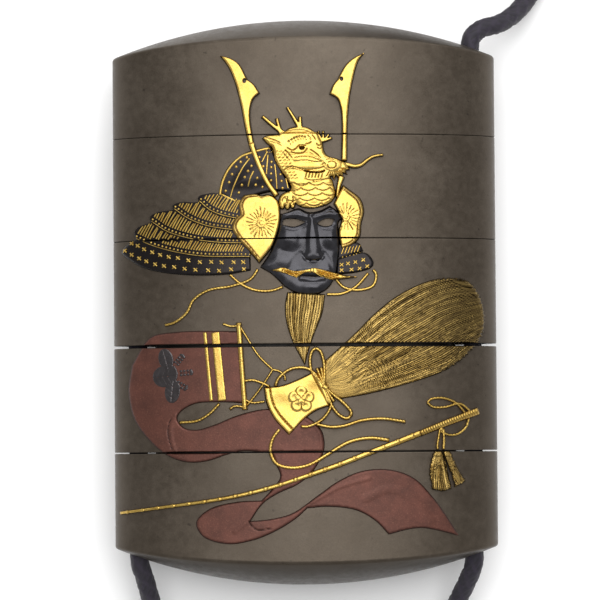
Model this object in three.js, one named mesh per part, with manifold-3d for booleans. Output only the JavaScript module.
// A metal inro: a lid and four stacked cases on a braided cord, with raised inlays of gold,
// dark shakudo and copper on its face. It lies on its back. X runs across its width, Y towards
// the lid and Z up out of the decorated face. The origin is on the surface it lies on, under the
// middle of the case. All sizes are in millimetres.
import * as THREE from "three";
import { mergeVertices } from "three/addons/utils/BufferGeometryUtils.js";
import Module from "manifold-3d";

// The closed case.
const WIDTH = 60.5;
const LENGTH = 89.3;
const THICKNESS = 22;
const SECTION_SIDES = 36;
const ARCH_RADIUS = 80; // of the ends, seen from the front
const DOME_RADIUS = 19; // of the ends, from front to back
const DOME_RINGS = [1, 0.75, 0.4]; // of the ends' facets, as shares of the section
const WALL = 1.3; // over the compartments at both ends

// Joints between the lid and the cases, along Y from the middle of the case, and their openings.
const JOINTS = [25.9, 9.65, -7.0, -23.7];
const JOINT_GAPS = [0.06, 0.08, 0.46, 0.2];

// The risers, the recesses that take them and the compartments: half width, half depth, height.
const RISER = { halfWidth: 23.75, halfDepth: 9.4, height: 4.5 };
const FIT = 0.15; // clearance round a riser
const RISER_WALL = 1.05;
const FLOOR = 1.1;
const INNER_POWER = 3; // of the superellipse that the inner walls follow
const INNER_SIDES = 16;

// The cord and its channels.
const CHANNEL_X = 26.5;
const CHANNEL_RADIUS = 1.95;
const CHANNEL_SIDES = 12;
const CORD_RADIUS = 1.5;
const CORD_GAP = 0.3;
const LYING = 1.55; // the height of its middle where it lies on the surface
const CORD_SIDES = 8;
const CORD_STEP = 6; // along the tube
const COIL = { x: 26.5, y: 74, inner: 9, outer: 21, height: 6.1, shoulder: 1.5 };
const RING_SIDES = 24;
const KNOT_RINGS = 6;
const KNOT_SIDES = 16;

// How high each inlay stands above the face, at its main level.
const HEIGHTS = {
  banner: 0.4,
  crest: 0.48,
  stripe: 0.54,
  bannerString: 0.3,
  whisk: 0.6,
  ferrule: 0.85,
  ferruleBand: 1.05,
  rod: 0.85,
  rodTies: 0.65,
  bow: 1.15,
  tail: 0.8,
  whipTip: 0.75,
  whip: 0.8,
  whipHandle: 0.95,
  whipCords: 0.6,
  tassels: 0.8,
  bowl: 0.6,
  bowlCrown: 0.85,
  lames: [0.9, 0.8, 0.7, 0.6, 0.5],
  mask: 0.9,
  moustache: 1.4,
  beard: 0.8,
  chinCords: 0.5,
  plate: 0.95,
  plateFace: 1.15,
  horn: 1.15,
};

// The inlays stand on the face with a hairline gap and rise in steps above it.
const HAIRLINE = 0.03;
const SIDE_GAP = 0.06; // beside a lower inlay that an upper one crosses
const FACE_REACH = 3; // higher than any inlay
const SMALLEST_PIECE = 0.02; // in cubic millimetres; slivers under this are dropped
const PRISM_TOP = 30;
const CURVE_STEPS = 2; // straight pieces to each stretch of a smooth outline

const wasm = await Module();
wasm.setup();

const centreZ = lyingHeight();

// ---------- solids ----------

// Turns a closed three.js geometry into a manifold solid.
function solid(geometry) {
  geometry.deleteAttribute("normal");
  geometry.deleteAttribute("uv");
  const merged = mergeVertices(geometry, 1e-5);
  return new wasm.Manifold(
    new wasm.Mesh({
      numProp: 3,
      vertProperties: merged.attributes.position.array,
      triVerts: new Uint32Array(merged.index.array),
    }),
  );
}

// Turns a manifold solid back into a geometry.
function geometryOf(body) {
  const mesh = body.getMesh();
  const geometry = new THREE.BufferGeometry();
  geometry.setAttribute("position", new THREE.BufferAttribute(mesh.vertProperties, mesh.numProp));
  geometry.setIndex(new THREE.BufferAttribute(mesh.triVerts, 1));
  geometry.computeVertexNormals();
  return geometry;
}

// The height of the section's middle when its lowest facet lies flat on the surface.
function lyingHeight() {
  return (THICKNESS / 2) * Math.cos(Math.PI / SECTION_SIDES);
}

// The outer section, grown outwards by grow: an ellipse whose lowest facet is level.
function outerSection(grow = 0) {
  const a = WIDTH / 2;
  const b = THICKNESS / 2;
  return Array.from({ length: SECTION_SIDES }, (_, i) => {
    const angle = ((i + 0.5) / SECTION_SIDES) * 2 * Math.PI;
    const normal = new THREE.Vector2(b * Math.cos(angle), a * Math.sin(angle)).normalize();
    const point = new THREE.Vector2(a * Math.cos(angle), b * Math.sin(angle));
    return point.addScaledVector(normal, grow);
  });
}

// The section of a riser, recess or compartment: a superellipse.
function innerSection(halfWidth, halfDepth) {
  return Array.from({ length: INNER_SIDES }, (_, i) => {
    const angle = ((i + 0.5) / INNER_SIDES) * 2 * Math.PI;
    const round = (v) => Math.sign(v) * Math.abs(v) ** (2 / INNER_POWER);
    return new THREE.Vector2(halfWidth * round(Math.cos(angle)), halfDepth * round(Math.sin(angle)));
  });
}

// How far the end of the case lies from its middle, at a point of the section.
function endDistance(x, z) {
  const arch = ARCH_RADIUS - Math.sqrt(ARCH_RADIUS ** 2 - x ** 2);
  const dome = DOME_RADIUS - Math.sqrt(DOME_RADIUS ** 2 - z ** 2);
  return LENGTH / 2 - arch - dome;
}

// A body with the given section between two ends. An end is a level Y, or a function of the
// section's point for a domed one.
function body(section, bottom, top) {
  const rings = [];
  const ringsOf = (end) => (typeof end === "number" ? [1] : DOME_RINGS);
  const ring = (end, scale) =>
    section.map((p) => {
      const x = p.x * scale;
      const z = p.y * scale;
      return [x, typeof end === "number" ? end : end(x, z), z + centreZ];
    });
  rings.push(...ringsOf(bottom).toReversed().map((scale) => ring(bottom, scale)));
  rings.push(...ringsOf(top).map((scale) => ring(top, scale)));
  const middle = (end) => [0, typeof end === "number" ? end : end(0, 0), centreZ];
  const points = [middle(bottom), ...rings.flat(), middle(top)];
  const count = section.length;
  const faces = [];
  for (let i = 0; i < count; i++) {
    const next = (i + 1) % count;
    faces.push([0, 1 + i, 1 + next]);
    for (let r = 0; r + 1 < rings.length; r++) {
      const low = 1 + r * count;
      const high = low + count;
      faces.push([low + i, high + i, low + next], [low + next, high + i, high + next]);
    }
    const last = 1 + (rings.length - 1) * count;
    faces.push([last + i, points.length - 1, last + next]);
  }
  const geometry = new THREE.BufferGeometry();
  geometry.setAttribute("position", new THREE.Float32BufferAttribute(points.flat(), 3));
  geometry.setIndex(faces.flat());
  return solid(geometry);
}

const topEnd = (inset) => (x, z) => endDistance(x, z) - inset;
const bottomEnd = (inset) => (x, z) => inset - endDistance(x, z);

// ---------- lid and cases ----------

// The two cord channels, right through the case.
function channels() {
  const bores = [-CHANNEL_X, CHANNEL_X].map((x) => {
    const bore = new THREE.CylinderGeometry(CHANNEL_RADIUS, CHANNEL_RADIUS, LENGTH, CHANNEL_SIDES);
    bore.translate(x, 0, centreZ);
    return solid(bore);
  });
  return bores[0].add(bores[1]);
}

// The levels of one storey: 0 is the lid and 4 the case with the base.
function storey(index) {
  const top = index === 0 ? topEnd(0) : JOINTS[index - 1] - JOINT_GAPS[index - 1] / 2;
  const bottom = index === JOINTS.length ? bottomEnd(0) : JOINTS[index] + JOINT_GAPS[index] / 2;
  return { top, bottom };
}

function storeyName(index) {
  return index === 0 ? "lid" : `case_${index}`;
}

// The recess under a storey, for the riser below it.
function recess(level) {
  const section = innerSection(RISER.halfWidth + FIT, RISER.halfDepth + FIT);
  return body(section, level - 1, level + RISER.height + FIT);
}

function makeLid() {
  const { top, bottom } = storey(0);
  const hollow = innerSection(RISER.halfWidth - RISER_WALL, RISER.halfDepth - RISER_WALL);
  return body(outerSection(), bottom, top)
    .subtract(recess(bottom))
    .subtract(body(hollow, bottom, topEnd(WALL)))
    .subtract(channels());
}

function makeCase(index) {
  const { top, bottom } = storey(index);
  const isBase = index === JOINTS.length;
  const rim = top + RISER.height;
  const riser = body(innerSection(RISER.halfWidth, RISER.halfDepth), top - 1, rim);
  const floor = isBase ? bottomEnd(WALL) : bottom + RISER.height + FIT + FLOOR;
  const hollow = innerSection(RISER.halfWidth - RISER_WALL, RISER.halfDepth - RISER_WALL);
  const shell = body(outerSection(), bottom, top)
    .add(riser)
    .subtract(body(hollow, floor, rim + 1))
    .subtract(channels());
  return isBase ? shell : shell.subtract(recess(bottom));
}

// ---------- drawing on the face ----------

// A smooth open curve through the points; two points give a straight line.
function smooth(points) {
  if (points.length === 2) return points;
  const curve = new THREE.CatmullRomCurve3(
    points.map(([x, y]) => new THREE.Vector3(x, y, 0)),
    false,
    "centripetal",
  );
  return curve.getPoints((points.length - 1) * CURVE_STEPS).map((p) => [p.x, p.y]);
}

// A closed outline made of smooth runs that meet in corners. Each run starts where the run
// before it ends, and the first one starts where the last one ends.
function outline(...runs) {
  const points = [];
  let corner = runs.at(-1).at(-1);
  for (const run of runs) {
    points.push(...smooth([corner, ...run]).slice(1));
    corner = run.at(-1);
  }
  return points;
}

// The outline of a stroke along a line, from one width to another.
function stroke(points, startWidth, endWidth = startWidth) {
  const line = points.map(([x, y]) => new THREE.Vector2(x, y));
  const side = (sign) =>
    line.map((p, i) => {
      const before = line[Math.max(i - 1, 0)];
      const after = line[Math.min(i + 1, line.length - 1)];
      const along = after.clone().sub(before).normalize();
      const width = startWidth + ((endWidth - startWidth) * i) / (line.length - 1);
      return [p.x - (sign * along.y * width) / 2, p.y + (sign * along.x * width) / 2];
    });
  return [...side(1), ...side(-1).reverse()];
}

function ellipse(x, y, radiusX, radiusY, turn = 0, sides = 12) {
  return Array.from({ length: sides }, (_, i) => {
    const angle = (i / sides) * 2 * Math.PI;
    const u = radiusX * Math.cos(angle);
    const v = radiusY * Math.sin(angle);
    return [x + u * Math.cos(turn) - v * Math.sin(turn), y + u * Math.sin(turn) + v * Math.cos(turn)];
  });
}

// An outline pushed outwards by a distance.
function widened(points, distance) {
  const turn = THREE.ShapeUtils.area(points.map(([x, y]) => new THREE.Vector2(x, y))) > 0 ? 1 : -1;
  return points.map(([x, y], i) => {
    const before = points[(i + points.length - 1) % points.length];
    const after = points[(i + 1) % points.length];
    const out = new THREE.Vector2(after[1] - before[1], before[0] - after[0]).normalize();
    return [x + turn * distance * out.x, y + turn * distance * out.y];
  });
}

// An upright prism over an outline.
function prism(points) {
  const shape = new THREE.Shape(points.map(([x, y]) => new THREE.Vector2(x, y)));
  const geometry = new THREE.ExtrudeGeometry(shape, {
    depth: PRISM_TOP - centreZ,
    bevelEnabled: false,
  });
  geometry.translate(0, 0, centreZ);
  return solid(geometry);
}

// Everything up to a height above the face.
const layers = new Map();
function upTo(height) {
  if (!layers.has(height)) layers.set(height, body(outerSection(height), -LENGTH, LENGTH));
  return layers.get(height);
}

// A relief: each step is an outline, or several, raised to a height above the face. The grown
// one is the space that it needs.
function relief(steps, isGrown = false) {
  const grow = isGrown ? HAIRLINE : 0;
  const parts = steps.map(([height, ...outlines]) =>
    outlines
      .map((points) => prism(isGrown ? widened(points, SIDE_GAP) : points))
      .reduce((all, one) => all.add(one))
      .intersect(upTo(height + grow)),
  );
  const whole = parts.reduce((all, one) => all.add(one));
  return isGrown ? whole : whole.subtract(upTo(HAIRLINE));
}

// ---------- the armour: helmet, mask and crest ----------

const hornLeft = {
  blade: outline(
    [[-11.3, 37.85], [-10.0, 36.9], [-9.0, 35.05]],
    [[-8.75, 34.55]],
    [[-7.75, 33.75], [-6.87, 32.4]],
    [[-7.9, 31.4], [-8.37, 29.6], [-8.3, 27.6], [-7.73, 24.2]],
    [[-8.55, 24.2]],
    [[-9.2, 27.3], [-9.8, 30.7], [-10.75, 34.4], [-11.7, 36.6], [-12.95, 38.35]],
  ),
  eye: ellipse(-9.22, 34.35, 0.33, 0.42, 0, 8),
  stem: stroke([[-8.2, 24.5], [-7.55, 22.6], [-6.65, 20.3], [-5.6, 18.2], [-4.25, 16.3]], 0.85, 0.6),
};
const hornRight = {
  blade: outline(
    [[8.6, 37.3], [7.75, 34.4], [7.1, 30.9], [6.8, 27.5], [6.6, 21.7]],
    [[5.95, 21.7]],
    [[6.0, 27.5], [5.8, 30.0], [5.3, 31.4], [4.1, 32.15]],
    [[4.7, 33.6], [5.35, 34.4]],
    [[5.65, 35.0]],
    [[6.6, 36.6], [7.8, 37.7], [9.55, 38.6]],
  ),
  eye: ellipse(5.98, 34.5, 0.3, 0.38, 0, 8),
  foot: stroke([[5.9, 19.3], [5.45, 17.9], [5.1, 16.0]], 0.7, 0.25),
};

// The crown of the dragon's head with its two antlers.
const crown = [
  [1.25, outline([[-2.4, 26.75], [-0.7, 27.1], [1.0, 26.75], [2.2, 25.5]], [[-3.6, 25.5]])],
  [1.1, stroke([[-3.1, 26.0], [-4.9, 27.4], [-6.45, 28.75]], 0.5, 0.3)],
  [1.1, stroke([[-3.6, 26.1], [-4.2, 28.4]], 0.42, 0.36)],
  [1.1, stroke([[-0.6, 26.9], [-1.6, 28.6], [-2.55, 30.15]], 0.45, 0.25)],
  [1.1, stroke([[-0.5, 26.9], [-0.55, 28.65]], 0.42, 0.36)],
];
const dragonHead = outline(
  [[-5.9, 25.65], [-4.0, 25.85]],
  [[-3.6, 26.6], [2.2, 26.6]],
  [[2.55, 25.2], [2.85, 24.75]],
  [[4.35, 25.2]],
  [[3.05, 24.35]],
  [[3.1, 23.2], [3.7, 22.35], [5.1, 21.9], [6.4, 21.3]],
  [[7.1, 20.3], [6.2, 19.3], [4.9, 18.7], [3.2, 19.7]],
  [[0.4, 19.0], [-2.6, 19.1]],
  [[-3.9, 20.7], [-4.65, 22.8], [-5.3, 24.2], [-6.45, 25.3]],
);
const dragonNeck = outline(
  [[3.7, 19.0], [4.6, 16.9], [4.0, 15.2], [2.0, 14.4], [-0.2, 14.45], [-1.4, 15.1]],
  [[-1.9, 14.5], [-3.1, 14.2], [-3.8, 15.0], [-3.7, 16.5], [-2.2, 17.1]],
  [[-2.3, 18.6], [-3.2, 20.0]],
);
const dragon = [
  [0.95, dragonNeck],
  [1.3, outline([[4.0, 17.6], [3.4, 15.6], [0.6, 15.1], [-0.7, 16.2], [-1.2, 19.4]])],
  [1.4, dragonHead],
  [1.6, outline([[-2.6, 23.5], [-0.6, 25.2], [2.2, 24.6], [3.9, 21.9], [6.0, 21.0], [3.0, 20.4],
    [-1.6, 21.4]])],
  [1.0, stroke([[5.6, 21.3], [7.8, 20.85], [9.3, 21.35], [10.6, 22.3], [12.35, 22.65]], 0.5, 0.2)],
];

const bowl = outline(
  [[-12.7, 19.3], [-11.3, 21.5], [-9.2, 23.0], [-7.2, 23.6], [-5.2, 23.9]],
  [[-1.8, 17.0]],
  [[-5.0, 17.0], [-9.0, 16.0], [-10.6, 15.4]],
  [[-13.35, 16.7]],
);
const bowlCrown = outline(
  [[-11.9, 17.4], [-10.9, 20.0], [-8.6, 22.0], [-6.2, 22.8], [-4.0, 20.8], [-4.2, 18.2], [-8.0, 16.9]],
);

// The neck guard: five lames, each lapping over the next. A lame's outline runs along its lower
// edge from the tip to the plate, and back along the top of the guard.
const guardTop = [[-14.3, 16.85], [-16.3, 16.5]];
const lameTips = [
  [[-16.6, 16.1], [-16.4, 15.6]],
  [[-19.6, 15.45], [-20.6, 15.0], [-20.4, 14.5]],
  [[-23.2, 13.95], [-24.2, 13.3], [-24.0, 12.6]],
  [[-26.2, 11.7], [-26.75, 10.8], [-26.5, 10.0]],
  [[-28.2, 8.8], [-28.75, 7.9], [-28.1, 7.2]],
];
const lameEdges = [
  [[-14.8, 14.2], [-13.0, 13.4], [-8.7, 12.4]],
  [[-18.3, 13.0], [-15.3, 11.75], [-8.7, 10.7]],
  [[-21.6, 11.0], [-18.0, 9.8], [-14.0, 9.15], [-8.7, 8.9]],
  [[-24.0, 8.85], [-20.4, 7.75], [-16.0, 7.0], [-8.6, 6.8]],
  [[-25.5, 5.55], [-22.0, 4.6], [-17.0, 4.1], [-12.0, 4.2], [-8.5, 4.75]],
];
const guard = lameEdges.map((edge, i) => [
  HEIGHTS.lames[i],
  outline(
    lameTips.slice(0, i + 1).flat(),
    edge,
    [[-8.6, 15.6]],
    [[-13.2, 16.7]],
    guardTop,
  ),
]);
const guardRight = [
  [HEIGHTS.lames[4], outline([[9.6, 7.2], [10.7, 5.7], [10.3, 5.0], [8.0, 4.3], [5.0, 4.0]], [[5.2, 6.6]])],
  [HEIGHTS.lames[3], outline([[8.4, 8.8], [9.1, 7.6]], [[5.2, 6.4]], [[5.3, 8.6]])],
];

const plateLeft = outline(
  [[-7.6, 16.65], [-6.7, 16.35], [-5.6, 16.5], [-4.2, 15.6], [-3.75, 13.5], [-4.1, 11.0], [-5.3, 8.0],
    [-7.1, 5.8]],
  [[-8.3, 7.3], [-10.3, 9.5], [-11.35, 11.3], [-10.9, 12.8]],
  [[-10.1, 13.4]],
  [[-10.25, 15.2], [-9.4, 16.5]],
);
const plateLeftFace = outline(
  [[-7.5, 16.4], [-6.65, 16.1], [-5.6, 16.3], [-4.4, 15.4], [-4.0, 13.5], [-4.35, 11.0], [-5.6, 8.0],
    [-7.2, 6.3]],
  [[-8.9, 8.6], [-10.4, 10.4], [-10.7, 12.0], [-9.5, 13.4]],
  [[-9.75, 15.0], [-9.1, 16.2]],
);
const plateRight = outline(
  [[7.0, 17.2], [8.7, 15.8], [9.3, 13.9], [8.85, 11.8], [8.6, 9.8], [7.3, 8.5], [5.75, 7.95]],
  [[5.35, 10.5], [5.85, 12.5]],
  [[5.2, 13.9], [4.6, 15.0]],
  [[5.4, 16.6], [6.1, 17.9]],
);
const plateRightFace = outline(
  [[7.2, 16.2], [8.35, 14.6], [8.15, 12.4], [7.95, 10.4], [7.2, 9.2], [5.8, 8.6]],
  [[5.6, 10.5], [6.15, 12.6]],
  [[5.4, 14.2], [5.1, 15.0]],
  [[5.7, 16.3], [6.3, 16.9]],
);

// The armour mask: a plain face on general proportions, with open eyes.
const mask = [
  [HEIGHTS.mask, outline(
    [[-2.6, 13.7], [-1.0, 14.3], [0.6, 13.7], [2.4, 13.9], [4.0, 14.7]],
    [[5.3, 13.6], [5.9, 12.6]],
    [[5.35, 12.2], [5.4, 8.5], [4.9, 4.4]],
    [[3.9, 2.2], [2.4, 1.1], [0.6, 0.9], [-1.6, 1.25], [-3.2, 2.2]],
    [[-5.0, 4.0], [-6.9, 5.2]],
    [[-5.3, 7.6], [-4.2, 10.4], [-3.7, 13.4]],
  )],
  [1.25, outline([[-2.0, 13.4], [1.2, 13.5], [4.4, 13.6], [4.6, 13.1], [1.2, 12.7], [-3.0, 12.9]])],
  [1.2, outline([[-3.9, 9.8], [-1.2, 10.4], [-0.2, 7.4], [-1.4, 5.9], [-4.4, 6.6]])],
  [1.2, outline([[3.9, 10.3], [4.9, 9.4], [4.6, 6.6], [3.7, 6.0], [3.0, 8.0]])],
  [1.7, outline([[1.9, 12.6], [2.6, 9.0], [3.3, 6.3], [1.4, 5.4], [-0.3, 6.1], [0.5, 9.0],
    [0.9, 12.6]])],
  [1.3, outline([[-1.4, 2.9], [1.2, 3.4], [3.3, 3.0], [1.2, 1.9]])],
];
const maskEyes = [
  outline([[-3.3, 12.55], [-1.6, 12.75], [0.3, 12.2]], [[-1.4, 11.45], [-3.5, 11.7]]),
  outline([[2.4, 12.3], [3.6, 12.75], [4.7, 12.6]], [[4.3, 11.7], [3.1, 11.45], [1.9, 11.9]]),
];

const moustache = outline(
  [[-3.4, 5.15], [-1.6, 4.6], [0.4, 4.85], [1.3, 5.05], [2.4, 4.9], [4.2, 4.4]],
  [[6.0, 3.85], [8.1, 3.55]],
  [[6.0, 3.25], [4.1, 3.05]],
  [[2.4, 3.6], [1.2, 4.2]],
  [[0.0, 4.1], [-1.3, 3.35]],
  [[-3.3, 4.1], [-5.4, 4.7]],
);
const beard = outline(
  [[-3.05, -0.6], [-2.95, -3.0], [-2.0, -6.3], [-0.1, -10.1]],
  [[0.25, -8.6], [1.4, -5.2], [2.6, -2.2], [3.1, 0.8]],
  [[-2.7, 1.2]],
);

const chinCordsLeft = [
  stroke([[-7.3, 4.9], [-8.5, 3.35], [-11.4, 2.3], [-15.2, 1.65], [-17.5, 0.15], [-18.5, -1.75],
    [-20.4, -3.25], [-22.0, -3.7]], 0.36),
  stroke([[-11.75, 4.1], [-10.0, 2.6], [-7.7, 1.6], [-5.3, 1.5], [-3.4, 2.1]], 0.36),
];
const chinCordsRight = [
  stroke([[4.7, 3.4], [6.1, 1.95], [8.35, 1.5], [10.65, 2.2], [11.15, 3.9], [10.7, 4.7]], 0.4),
  stroke([[3.4, 0.85], [5.75, 0.95], [7.85, 1.95], [9.95, 4.15]], 0.4),
];

// ---------- the banner, its ribbon and its rod ----------

const bannerEdge = [[-24.3, -5.65], [-20.1, -4.85], [-15.1, -4.75], [-10.4, -4.85]];
const banner = outline(
  bannerEdge,
  [[-9.5, -15.95]],
  [[-14.2, -15.75], [-17.4, -16.0], [-19.6, -17.2], [-20.2, -18.3], [-19.3, -19.7], [-17.4, -20.2],
    [-14.5, -19.5], [-11.0, -18.1], [-7.6, -17.2], [-4.0, -16.9]],
  [[0.0, -18.2], [2.3, -20.3], [2.8, -22.2], [2.7, -23.75]],
  [[-5.4, -23.75]],
  [[-9.9, -23.4], [-12.5, -24.0], [-15.5, -24.95], [-18.6, -25.1], [-21.6, -24.1],
    [-24.6, -21.6], [-26.9, -18.3], [-27.8, -14.0], [-27.2, -9.8]],
);
const ribbon = outline(
  [[3.0, -22.6]],
  [[2.4, -24.3], [0.8, -26.9], [-1.4, -28.7], [-4.5, -30.1], [-6.9, -31.7], [-8.9, -34.5]],
  [[-5.6, -34.2], [-2.2, -33.3], [1.9, -30.5], [5.1, -28.3], [8.8, -26.8], [13.1, -26.65],
    [16.8, -28.0], [19.8, -31.1], [22.2, -34.5], [23.7, -36.9]],
  [[20.7, -36.1], [18.2, -35.65], [16.1, -35.8], [12.8, -36.6]],
  [[10.8, -34.5], [7.8, -32.8], [3.5, -32.2], [0.1, -32.4]],
  [[-1.7, -34.0], [-4.8, -35.9], [-8.6, -37.4], [-12.5, -37.9], [-16.2, -36.7], [-17.2, -34.6],
    [-15.2, -32.6], [-11.0, -31.5], [-7.0, -31.3]],
  [[-5.3, -29.5], [-4.0, -27.5], [-4.9, -25.1], [-5.5, -22.6]],
);
const stripeNarrow = stroke([[-15.7, -4.9], [-14.75, -15.6]], 0.42);
const stripeWide = stroke([[-14.05, -4.9], [-13.05, -15.6]], 1.15);

// The banner's crest: three leaves on one stem, with a sprig between each.
const crestLeaves = [
  ellipse(-21.8, -9.0, 1.5, 0.85, -1.1),
  ellipse(-22.1, -11.7, 1.75, 1.35, 0.1),
  ellipse(-20.9, -14.1, 1.55, 1.05, 1.35),
  ellipse(-20.7, -11.4, 0.95, 1.9, 0, 10),
  stroke([[-20.6, -10.2], [-19.2, -8.5]], 0.6, 0.9),
  stroke([[-20.2, -11.3], [-17.8, -11.1]], 0.7, 1.0),
  stroke([[-20.6, -12.5], [-18.7, -13.6]], 0.6, 0.9),
];

const rod = stroke([[-10.4, -3.4], [-9.5, -17.1]], 0.58);
const rodTies = [
  stroke([[-10.3, -3.9], [-11.6, -4.0], [-12.9, -3.6]], 0.26, 0.22),
  stroke([[-10.2, -4.0], [-9.15, -5.75], [-7.25, -8.7], [-5.1, -10.85]], 0.24),
  stroke([[-9.2, -16.4], [-7.85, -14.75], [-6.65, -13.15], [-5.1, -10.8]], 0.24),
  stroke([[-5.3, -10.8], [-4.1, -11.1], [-3.3, -11.8], [-3.2, -12.6]], 0.26, 0.22),
  stroke([[-9.8, -12.6], [-8.3, -12.45], [-6.8, -12.9], [-5.6, -13.5]], 0.34, 0.3),
  stroke([[-9.5, -15.5], [-8.3, -15.95], [-6.4, -15.8]], 0.26, 0.26),
  stroke([[-9.7, -16.6], [-11.2, -16.5], [-11.9, -17.0]], 0.28, 0.22),
];
const bannerString = stroke([[-13.5, -16.05], [-15.05, -17.6], [-17.0, -18.7], [-19.8, -18.95]], 0.26);

// ---------- the whisk ----------

const whisk = outline(
  [[5.5, -7.4], [8.0, -5.1], [10.6, -2.5], [13.8, 0.1], [16.85, 1.85], [19.9, 3.0], [23.1, 3.4],
    [25.9, 2.7], [27.6, 0.4], [28.25, -2.6], [27.8, -5.6], [26.0, -8.0], [22.4, -10.8], [17.3, -12.7],
    [10.1, -14.6], [5.6, -15.4]],
  [[4.2, -14.8], [2.9, -12.4], [3.1, -9.5]],
);
const ferrule = [
  [HEIGHTS.ferrule, outline(
    [[-6.1, -16.1], [-5.0, -18.4], [-2.7, -21.05]],
    [[-2.0, -20.4]],
    [[-0.3, -18.6], [1.5, -17.3], [3.7, -16.5]],
    [[1.0, -11.35]],
    [[-1.2, -12.4], [-3.8, -13.35], [-6.5, -13.6]],
  )],
  [HEIGHTS.ferruleBand, outline(
    [[-6.0, -15.9], [-4.8, -18.4], [-2.6, -20.9]],
    [[-2.1, -20.3]],
    [[-3.9, -18.3], [-5.1, -16.2], [-5.65, -13.75]],
    [[-6.4, -13.7]],
  )],
];
// A plum flower with five round petals on the ferrule.
const FLOWER = { x: -0.7, y: -15.5, petals: 5, petalRadius: 0.82, reach: 1.12, height: 1.05 };
for (let i = 0; i < FLOWER.petals; i++) {
  const angle = Math.PI / 2 + (i * 2 * Math.PI) / FLOWER.petals;
  const x = FLOWER.x + FLOWER.reach * Math.cos(angle);
  const y = FLOWER.y + FLOWER.reach * Math.sin(angle);
  ferrule.push([FLOWER.height, ellipse(x, y, FLOWER.petalRadius, FLOWER.petalRadius, 0, 8)]);
}

const bow = [
  stroke([[2.7, -13.2], [1.0, -11.2], [0.7, -9.4], [1.05, -8.0], [1.65, -7.5]], 0.46),
  stroke([[1.55, -7.5], [2.3, -8.0], [2.8, -9.4], [2.95, -11.5], [2.85, -13.6]], 0.46),
  stroke([[1.75, -10.4], [2.35, -11.9], [2.9, -13.6]], 0.9, 0.6),
  ellipse(2.95, -13.8, 0.6, 0.55, 0, 8),
  stroke([[3.0, -13.9], [3.5, -15.2], [4.1, -16.5]], 0.7, 0.9),
  stroke([[3.1, -13.9], [4.95, -15.3], [6.3, -16.5], [7.05, -17.5], [7.0, -18.2]], 0.46),
  stroke([[7.0, -18.1], [6.4, -18.5], [5.3, -18.05], [4.3, -16.9], [3.3, -14.6]], 0.46),
  stroke([[-4.75, -13.4], [-4.15, -12.1], [-2.3, -10.75], [-0.1, -10.6], [1.1, -11.1]], 0.34),
  stroke([[4.1, -16.2], [3.4, -17.65], [2.2, -18.9], [0.2, -19.75], [-0.85, -19.7]], 0.4),
  stroke([[1.6, -19.4], [4.0, -19.85], [6.0, -19.65], [8.7, -18.85], [11.9, -18.6], [15.6, -19.1]], 0.44),
];
const tail = stroke([[-4.1, -20.1], [-5.2, -21.6], [-5.55, -23.6], [-4.6, -25.5], [-2.4, -26.15],
  [0.3, -25.75], [3.3, -24.1], [6.7, -22.2], [10.0, -21.6], [13.0, -21.95]], 0.44);

// ---------- the whip ----------

const whip = [
  [HEIGHTS.whipTip, stroke([[-29.4, -33.1], [-22.9, -32.25], [-15.0, -31.2], [-10.0, -30.3], [-5.0, -29.05],
    [0.0, -27.45], [5.0, -25.75], [10.0, -23.85]], 0.26, 0.62)],
  [HEIGHTS.whip, stroke([[8.5, -24.4], [13.0, -22.75], [18.0, -20.85]], 0.62, 0.7)],
  [HEIGHTS.whipHandle, stroke([[17.9, -20.9], [22.6, -19.1], [27.2, -17.45]], 0.7, 0.95)],
];
const whipCords = [
  stroke([[25.1, -17.9], [23.6, -16.25], [21.6, -15.45], [19.6, -15.6], [19.0, -16.15]], 0.26),
  stroke([[19.0, -16.1], [19.9, -16.8], [21.8, -16.85], [24.2, -16.35], [26.0, -17.7]], 0.26),
  stroke([[25.6, -18.6], [25.1, -20.0], [23.8, -21.05], [22.4, -21.2], [21.0, -20.6]], 0.3, 0.26),
  stroke([[21.0, -20.2], [20.75, -21.6], [20.55, -22.9], [20.6, -23.5]], 0.3),
  stroke([[21.5, -20.2], [21.6, -21.9], [21.5, -23.5]], 0.3, 0.5),
];
const tassels = [
  outline([[21.4, -24.1], [21.7, -25.8], [22.3, -28.4], [21.5, -29.9], [19.9, -29.8], [19.2, -26.6],
    [19.9, -24.1], [20.4, -23.5]], [[21.0, -23.5]]),
  outline([[22.6, -24.4], [23.8, -27.0], [24.9, -28.3], [23.4, -29.35]], [[22.55, -27.4], [21.3, -24.3],
    [21.3, -23.5]], [[22.2, -23.5]]),
];

// ---------- the inlays, the lowest first ----------

const GROUND = { color: 0x6f665a, roughness: 0.5, metalness: 0.8 };
const GOLD = { color: 0xd9b155, roughness: 0.35, metalness: 1 };
const HAIR_GOLD = { color: 0xb08f4a, roughness: 0.5, metalness: 1 };
const SHAKUDO = { color: 0x2b2a30, roughness: 0.45, metalness: 0.8 };
const COPPER = { color: 0x70413a, roughness: 0.6, metalness: 0.7 };
const SILK = { color: 0x1f1a26, roughness: 0.9, metalness: 0 };

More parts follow.
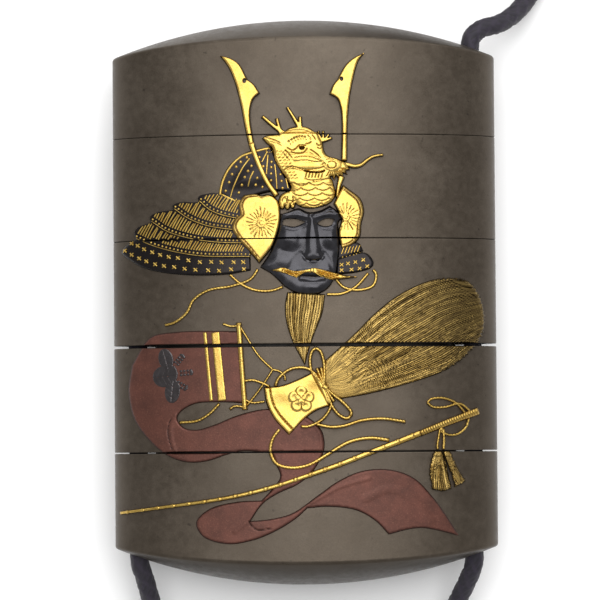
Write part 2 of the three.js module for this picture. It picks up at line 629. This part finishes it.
// Each inlay's name, finish, steps and open places, and the storeys that it reaches. Where it
// is in several pieces on one storey, names gives them for that storey, from left to right.
const INLAYS = [
  { name: "banner", finish: COPPER, steps: [[HEIGHTS.banner, banner]], storeys: [2, 3, 4] },
  { name: "ribbon", finish: COPPER, steps: [[HEIGHTS.banner, ribbon]], storeys: [4] },
  { name: "crest", finish: SHAKUDO, steps: [[HEIGHTS.crest, ...crestLeaves]], storeys: [3] },
  { name: "stripe_narrow", finish: GOLD, steps: [[HEIGHTS.stripe, stripeNarrow]], storeys: [2, 3] },
  { name: "stripe_wide", finish: GOLD, steps: [[HEIGHTS.stripe, stripeWide]], storeys: [2, 3] },
  { name: "banner_string", finish: GOLD, steps: [[HEIGHTS.bannerString, bannerString]], storeys: [3] },
  { name: "whisk", finish: HAIR_GOLD, steps: [[HEIGHTS.whisk, whisk]], storeys: [2, 3] },
  { name: "ferrule", finish: GOLD, steps: ferrule, storeys: [3] },
  {
    name: "rod",
    finish: GOLD,
    steps: [[HEIGHTS.rod, rod], [HEIGHTS.rodTies, ...rodTies]],
    storeys: [2, 3],
  },
  { name: "bow", finish: GOLD, steps: [[HEIGHTS.bow, ...bow]], storeys: [3] },
  {
    name: "tail",
    finish: GOLD,
    steps: [[HEIGHTS.tail, tail]],
    storeys: [3, 4],
    names: { 3: ["tail_left", "tail_right"] },
  },
  { name: "whip", finish: GOLD, steps: [...whip, [HEIGHTS.whipCords, ...whipCords]], storeys: [3, 4] },
  { name: "tassels", finish: HAIR_GOLD, steps: [[HEIGHTS.tassels, ...tassels]], storeys: [4] },
  {
    name: "bowl",
    finish: SHAKUDO,
    steps: [[HEIGHTS.bowl, bowl], [HEIGHTS.bowlCrown, bowlCrown]],
    storeys: [1],
  },
  { name: "lames", finish: SHAKUDO, steps: guard, storeys: [1, 2] },
  { name: "lames_right", finish: SHAKUDO, steps: guardRight, storeys: [2] },
  { name: "mask", finish: SHAKUDO, steps: mask, holes: maskEyes, storeys: [1, 2] },
  { name: "beard", finish: HAIR_GOLD, steps: [[HEIGHTS.beard, beard]], storeys: [2, 3] },
  { name: "moustache", finish: GOLD, steps: [[HEIGHTS.moustache, moustache]], storeys: [2] },
  {
    name: "chin_cord_left",
    finish: GOLD,
    steps: [[HEIGHTS.chinCords, ...chinCordsLeft]],
    storeys: [2],
  },
  {
    name: "chin_cord_right",
    finish: GOLD,
    steps: [[HEIGHTS.chinCords, ...chinCordsRight]],
    storeys: [2],
  },
  {
    name: "plate_left",
    finish: GOLD,
    steps: [[HEIGHTS.plate, plateLeft], [HEIGHTS.plateFace, plateLeftFace]],
    storeys: [1, 2],
  },
  {
    name: "plate_right",
    finish: GOLD,
    steps: [[HEIGHTS.plate, plateRight], [HEIGHTS.plateFace, plateRightFace]],
    storeys: [1, 2],
  },
  {
    name: "horn_left",
    finish: GOLD,
    steps: [[HEIGHTS.horn, hornLeft.blade, hornLeft.stem]],
    holes: [hornLeft.eye],
    storeys: [0, 1],
  },
  { name: "dragon", finish: GOLD, steps: [...crown, ...dragon], storeys: [0, 1] },
  {
    name: "horn_right",
    finish: GOLD,
    steps: [[HEIGHTS.horn, hornRight.blade, hornRight.foot]],
    holes: [hornRight.eye],
    storeys: [0, 1],
    names: { 1: ["horn_right_foot", "horn_right"] },
  },
];

function makeMesh(name, finish, form) {
  const mesh = new THREE.Mesh(geometryOf(form), new THREE.MeshStandardMaterial(finish));
  mesh.name = name;
  return mesh;
}

// The space in front of and round one storey, which its own share of the inlays lies in.
function slab(index) {
  const levels = storey(index);
  const top = index === 0 ? LENGTH : levels.top;
  const bottom = index === JOINTS.length ? -LENGTH : levels.bottom;
  return body(outerSection(FACE_REACH), bottom, top);
}

// Cuts the inlays at the joints, and from below where they cross a lower one.
function makeInlays() {
  const slabs = Array.from({ length: JOINTS.length + 1 }, (_, index) => slab(index));
  const lowerForms = [];
  const meshes = [];
  for (const { name, finish, steps, holes = [], storeys, names = {} } of INLAYS) {
    const solidForm = holes.reduce((rest, hole) => rest.subtract(prism(hole)), relief(steps));
    const form = lowerForms.reduce((rest, lower) => rest.subtract(lower), solidForm);
    lowerForms.push(relief(steps, true));
    for (const index of storeys) {
      const pieces = form
        .intersect(slabs[index])
        .decompose()
        .filter((piece) => piece.volume() > SMALLEST_PIECE)
        .sort((a, b) => a.boundingBox().min[0] - b.boundingBox().min[0]);
      pieces.forEach((piece, i) => {
        const own = names[index] ? names[index][i] : name;
        meshes.push(makeMesh(`${storeyName(index)}_${own}`, finish, piece));
      });
    }
  }
  return meshes;
}

// ---------- the cord ----------

// The route from inside the left channel, down through it, round below the base, up through
// the right channel and out over the surface to the coil.
const ROUTE = [
  [-CHANNEL_X, 38.5, centreZ],
  [-CHANNEL_X, -34, centreZ],
  [-CHANNEL_X, -38, centreZ],
  [-26.4, -41.2, 10.6],
  [-25.8, -43.2, 9.5],
  [-25.2, -45.6, 8.1],
  [-24.6, -47.9, 6.4],
  [-23.9, -50.4, 4.5],
  [-22.8, -53.2, 2.8],
  [-21.2, -56.4, 1.8],
  [-18.4, -60.4, LYING],
  [-14.2, -64.4, LYING],
  [-8, -67.6, LYING],
  [0, -68.9, LYING],
  [8, -67.6, LYING],
  [14.2, -64.4, LYING],
  [18.4, -60.4, LYING],
  [20.9, -56.4, 1.8],
  [22.1, -53.2, 2.8],
  [22.9, -50.4, 4.5],
  [23.9, -47.6, 6.5],
  [25.2, -44.8, 8.4],
  [26.4, -41.6, 10.4],
  [CHANNEL_X, -38, centreZ],
  [CHANNEL_X, -34, centreZ],
  [CHANNEL_X, 34, centreZ],
  [CHANNEL_X, 39.2, centreZ],
  [26.7, 41.6, 10.8],
  [28.2, 43.2, 9.9],
  [31.0, 44.1, 8.4],
  [33.0, 45.3, 6.6],
  [34.8, 47.0, 4.8],
  [36.5, 49.3, 3.1],
  [38.3, 52.3, 1.9],
  [40.3, 56.2, LYING],
  [42.3, 60.6, LYING],
  [44.1, 65.3, LYING],
];
// The free end, from the top of the coil down to the surface and to the knot.
const TAIL_ROUTE = [
  [22.5, 92.2, 4.6],
  [18.6, 93.4, 4.5],
  [15.3, 94.1, 3.5],
  [12.2, 93.9, 2.2],
  [9.2, 92.6, 1.6],
  [6.7, 90.2, LYING],
  [4.5, 87.0, LYING],
  [3.1, 83.4, 1.9],
  [2.2, 80.0, 2.7],
];
const KNOT = { x: 1.9, y: 77.6, radius: 3.1, halfLength: 3.9 };

// The coil as one ring of its outer shape, grown outwards by grow.
function coilRing(grow = 0) {
  const { inner, outer, height, shoulder } = COIL;
  const profile = [
    [inner - grow, shoulder],
    [inner + shoulder, -grow],
    [outer - shoulder, -grow],
    [outer + grow, shoulder],
    [outer + grow, height - shoulder],
    [outer - shoulder, height + grow],
    [inner + shoulder, height + grow],
    [inner - grow, height - shoulder],
    [inner - grow, shoulder],
  ];
  const ring = new THREE.LatheGeometry(profile.map(([x, y]) => new THREE.Vector2(x, y)), RING_SIDES);
  ring.rotateX(Math.PI / 2);
  ring.translate(COIL.x, COIL.y, 0);
  return solid(ring);
}

// The knot, an egg-shaped body lying along Y on the surface, grown outwards by grow.
function knotBody(grow = 0) {
  const profile = Array.from({ length: KNOT_RINGS + 1 }, (_, i) => {
    const angle = -Math.PI / 2 + (i / KNOT_RINGS) * Math.PI;
    const onAxis = i === 0 || i === KNOT_RINGS;
    const radius = onAxis ? 0 : (KNOT.radius + grow) * Math.cos(angle);
    return new THREE.Vector2(radius, (KNOT.halfLength + grow) * Math.sin(angle));
  });
  const knot = new THREE.LatheGeometry(profile, KNOT_SIDES);
  knot.translate(KNOT.x, KNOT.y, KNOT.radius);
  return solid(knot);
}

// A round tube along a route.
function tube(route) {
  const path = new THREE.CatmullRomCurve3(
    route.map(([x, y, z]) => new THREE.Vector3(x, y, z)),
    false,
    "centripetal",
  );
  const section = new THREE.Shape(
    ellipse(0, 0, CORD_RADIUS, CORD_RADIUS, 0, CORD_SIDES).map(([x, y]) => new THREE.Vector2(x, y)),
  );
  const steps = Math.round(path.getLength() / CORD_STEP);
  return solid(new THREE.ExtrudeGeometry(section, { steps, extrudePath: path }));
}

// The larger part of a body that is cut through.
function largest(form) {
  return form.decompose().sort((a, b) => b.volume() - a.volume())[0];
}

function makeCord() {
  const cord = largest(tube(ROUTE).subtract(coilRing(CORD_GAP)));
  const tailEnd = tube(TAIL_ROUTE).subtract(coilRing(CORD_GAP)).subtract(knotBody(CORD_GAP));
  return [
    makeMesh("cord", SILK, cord),
    makeMesh("cord_coil", SILK, coilRing()),
    makeMesh("cord_tail", SILK, largest(tailEnd)),
    makeMesh("cord_knot", SILK, knotBody()),
  ];
}

const inro = new THREE.Group();
inro.add(makeMesh(storeyName(0), GROUND, makeLid()));
for (let index = 1; index <= JOINTS.length; index++) {
  inro.add(makeMesh(storeyName(index), GROUND, makeCase(index)));
}
inro.add(...makeInlays(), ...makeCord());

export default inro;
